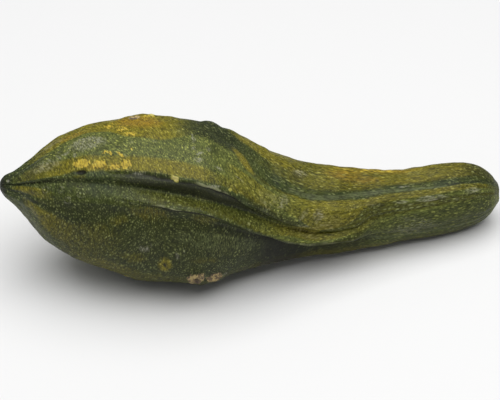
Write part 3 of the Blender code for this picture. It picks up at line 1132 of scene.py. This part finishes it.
class RindSkin(Finish):
    """The rind's finish, in which each layer of colour is painted over the ones before it."""

    def __init__(self, masks):
        super().__init__("rind")
        self.mask = {name: self.attribute(name)[2] for name in masks}
        self.grain, strand = self.attribute("grain")[1], self.attribute("strand")[1]
        self.blotch = self.noise(self.grain, 6.0, detail=3.0, roughness=0.6)
        self.mottle = self.noise(self.grain, 2.0, roughness=0.6)
        self.streaks = self.noise(self.grain, 0.8, roughness=0.6)
        self.strands = self.noise(strand, 0.7, roughness=0.55)
        self.ragged = self.blotch * 0.8 + self.mottle * 0.5 + self.strands * 0.8 - 1.05
        self.colour = GREEN

    def patch(self, name, low, high, raggedness):
        """Where a mask is strong, with ragged edges."""
        return (self.mask[name] + self.ragged * raggedness).within(low, high)

    def flecks(self, size, least, most):
        """Small pale flecks of uneven size and strength, no more than one in each cell of this size."""
        settings = {"feature": "F1", "distance": "EUCLIDEAN"}
        inputs = {"Vector": self.grain, "Scale": 1 / size, "Randomness": 1.0}
        cell = self.node("ShaderNodeTexVoronoi", settings, inputs)
        chance = self.node("ShaderNodeSeparateColor", {}, {"Color": cell[1]})
        reach = chance[0] * (most - least) + least
        return (reach - cell[0]).within(-0.12, 0.14) * (chance[1] * 0.65 + 0.35)

    def paint(self, share, colour, way="MIX"):
        self.colour = self.mix(share, self.colour, colour, way)

    def paint_ground(self):
        """Clouded greens, ripe skin, torn golden patches and pale stripes, under a fine weave."""
        place = self.node("ShaderNodeTexCoord", {}, {})[3]
        cloudy = self.noise(place, 14 * MM, detail=3.0)
        self.paint(cloudy.within(0.35, 0.7), BLUE_GREEN)
        self.paint(self.patch("olive", 0.1, 0.9, 0.8) * 0.8, OLIVE)
        self.paint(self.patch("bloom", 0.1, 0.9, 0.8) * 0.9, GREY_GREEN)
        self.paint(self.patch("deep", 0.1, 0.9, 0.8) * 0.9, DEEP_GREEN)
        self.ripeness = self.patch("ripe", 0.05, 0.95, 0.45)
        self.paint(self.ripeness * 0.9, self.mix(self.patch("orange", 0.1, 0.9, 0.8), RIPE, ORANGE))
        torn = self.blotch * 0.45 + self.strands * 0.65 + self.mottle * 0.6 - 0.85
        gold = self.mask["gold"]
        golden = (gold + torn * 2.0).within(0.38, 0.62) * gold.within(0.05, 0.3)
        self.paint(golden * 0.9, GOLD)
        self.striped = self.patch("stripe", 0.3, 0.7, 0.5)
        self.paint(self.striped * 0.9, STRIPE_GREEN)
        weave = self.streaks * 0.4 + self.strands * 0.6
        self.paint(1.0, self.mix(weave.within(0.32, 0.68), SHADED_THREAD, LIT_THREAD), "MULTIPLY")

    def paint_fold_shade(self):
        """Painted shade deep in the fold, which ends under the sharp crests."""
        self.above_crest = self.mask["above_crest"] + (self.mottle - 0.5) * 1.2
        self.under_crest = 1 - self.above_crest.within(-0.9, -0.1)
        self.fold_shaded = self.mask["hollow"] * (1 - self.mask["crest"] * (1 - self.under_crest))
        self.paint(self.fold_shaded * 0.85, FOLD_SHADE)

    def paint_flecks(self):
        """Flecks of three sizes, few under the painted fold shade, on the stripes and on plain skin."""
        shown = (1 - self.fold_shaded * 0.75) * (1 - self.striped * 0.6) * (1 - self.mask["plain"] * 0.6)
        self.small = self.flecks(size=0.7, least=0.16, most=0.42) * shown
        self.large = self.flecks(size=1.2, least=0.06, most=0.34) * shown
        bright = self.flecks(size=4.0, least=-0.2, most=0.12) * shown
        fleck = self.mix(self.mask["bloom"], FLECK, BLOOM_FLECK)
        fleck = self.mix(self.ripeness, fleck, RIPE_FLECK)
        self.paint(self.small * 0.4, fleck)
        self.paint(self.large * 0.62, fleck)
        self.paint(bright * 0.55, self.mix(0.35, fleck, GLINT))

    def paint_crests(self):
        """A painted shadow line under each sharp crest, and on its top pale stretches, both rubbed and a
        painted highlight.
        """
        painted_shadow_line = self.mask["crest"] * self.under_crest * self.above_crest.within(-2.4, -1.3)
        self.paint(painted_shadow_line * 0.7, SHADE_AND_NUB_DARK)
        rubbed = self.mask["rubbed"] * (1 - self.under_crest) * (1 - self.above_crest.within(0.0, 0.6))
        self.paint(rubbed * self.blotch.within(0.36, 0.5) * 0.75, RUBBED_AND_HIGHLIT)

    def paint_healed(self):
        """Dusty scuffs and painted sheen, pale warts, crusted corky scabs, and the near-black of painted
        shade and the dark nub.
        """
        # Dust, and painted sheen and highlights where the dusty spots stand for them
        dusting = (self.streaks * 0.5 + self.strands * 0.5).within(0.46, 0.58)
        scuffed_and_sheen = self.patch("pale", 0.15, 1.0, 0.8) * (0.25 + dusting * 0.75)
        self.paint(scuffed_and_sheen * 0.7, DUST_AND_SHEEN)
        wart = self.mix(self.mask["warty"].within(0.7, 1.0), LOW_WART, WART)
        self.paint(self.patch("warty", 0.35, 0.7, 1.0) * 0.9, wart)
        self.corky = self.patch("cork", 0.35, 0.65, 0.9)
        crust = self.mix(self.mottle.within(0.42, 0.58) * 0.85, CORK, BROWN_CRUST)
        self.paint(self.corky, self.mix(self.streaks.within(0.5, 0.6) * 0.6, crust, DARK_CRUST))
        # Painted shade, near black, in pits, scabs, under the wing's end and in the stem scar; on the
        # blossom nub, its own dark skin
        self.paint(self.patch("shade", 0.2, 0.8, 0.5) * 0.9, SHADE_AND_NUB_DARK)

    def dress(self):
        """Gives the shader the painted colour, the skin's roughness and its finest relief."""
        inputs = self.shader.inputs
        roughness = 0.44 + self.mottle * 0.12 + self.corky * 0.35 + self.mask["pale"] * 0.2
        self.set(inputs["Base Color"], self.colour)
        self.set(inputs["Roughness"], roughness)
        inputs["Specular IOR Level"].default_value = 0.2
        relief = self.mottle * 0.35 + self.streaks * 0.35 + self.small * 0.2 + self.large * 0.3
        relief = relief - self.corky * self.streaks * 0.8
        bump = self.node("ShaderNodeBump", {}, {"Strength": 0.8, "Distance": 0.16 * MM, "Height": relief})
        self.set(inputs["Normal"], bump[0])


def rind_finish(masks):
    """The skin, painted from its ground colour out."""
    skin = RindSkin(masks)
    skin.paint_ground()
    skin.paint_fold_shade()
    skin.paint_flecks()
    skin.paint_crests()
    skin.paint_healed()
    skin.dress()
    return skin.material


# The floor's size and how far it lies under the fruit, in metres, and its colour and roughness
FLOOR_SIZE = 12
FLOOR_DROP = 0.1 * MM
FLOOR_COLOUR = (0.77, 0.77, 0.77, 1)
FLOOR_ROUGHNESS = 0.9


def add_floor():
    bpy.ops.mesh.primitive_plane_add(size=FLOOR_SIZE, location=(0, 0, -FLOOR_DROP))
    floor = bpy.context.object
    floor.name = "floor"
    finish = Finish("floor")
    finish.shader.inputs["Base Color"].default_value = FLOOR_COLOUR
    finish.shader.inputs["Roughness"].default_value = FLOOR_ROUGHNESS
    floor.data.materials.append(finish.material)


# Soft light from all round, and one large softbox overhead: its size, power and place, and where it points
ROOM_LIGHT = 0.24
SOFTBOX_SIZE = 2.0
SOFTBOX_POWER = 33
SOFTBOX_PLACE = (0.05, -0.1, 1.4)
SOFTBOX_AIM = (0, 0, 0.03)


def add_studio():
    world = bpy.data.worlds.new("studio")
    bpy.context.scene.world = world
    world.use_nodes = True
    world.node_tree.nodes["Background"].inputs["Color"].default_value = (1, 1, 1, 1)
    world.node_tree.nodes["Background"].inputs["Strength"].default_value = ROOM_LIGHT
    bpy.ops.object.light_add(type="AREA", location=SOFTBOX_PLACE)
    softbox = bpy.context.object
    softbox.name = "overhead softbox"
    softbox.data.size = SOFTBOX_SIZE
    softbox.data.energy = SOFTBOX_POWER
    right, ahead, up = np.array(SOFTBOX_AIM) - np.array(SOFTBOX_PLACE)
    softbox.rotation_euler = (math.atan2(math.hypot(right, ahead), -up), 0, math.atan2(-right, ahead))
    bpy.context.scene.view_settings.view_transform = "Standard"


# The lens and the film's width in millimetres, and where the camera stands: it looks down from in front
LENS = 120
FILM_WIDTH = 36
NEAREST_SEEN = 0.01
LOOKS_DOWN = 35
CAMERA_PLACE = (-0.003, -0.63405, 0.4759)


def add_camera():
    bpy.ops.object.camera_add(location=CAMERA_PLACE, rotation=(math.radians(90 - LOOKS_DOWN), 0, 0))
    camera = bpy.context.object
    camera.data.lens = LENS
    camera.data.sensor_width = FILM_WIDTH
    camera.data.clip_start = NEAREST_SEEN
    bpy.context.scene.camera = camera


bpy.ops.object.select_all(action="DESELECT")
layout = lay_out_rind()
masks = masks_of(layout)
rind = make_rind(layout, masks)
rind.data.materials.append(rind_finish(masks))
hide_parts("gourd")
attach(rind, "root")

add_camera()
add_studio()
add_floor()
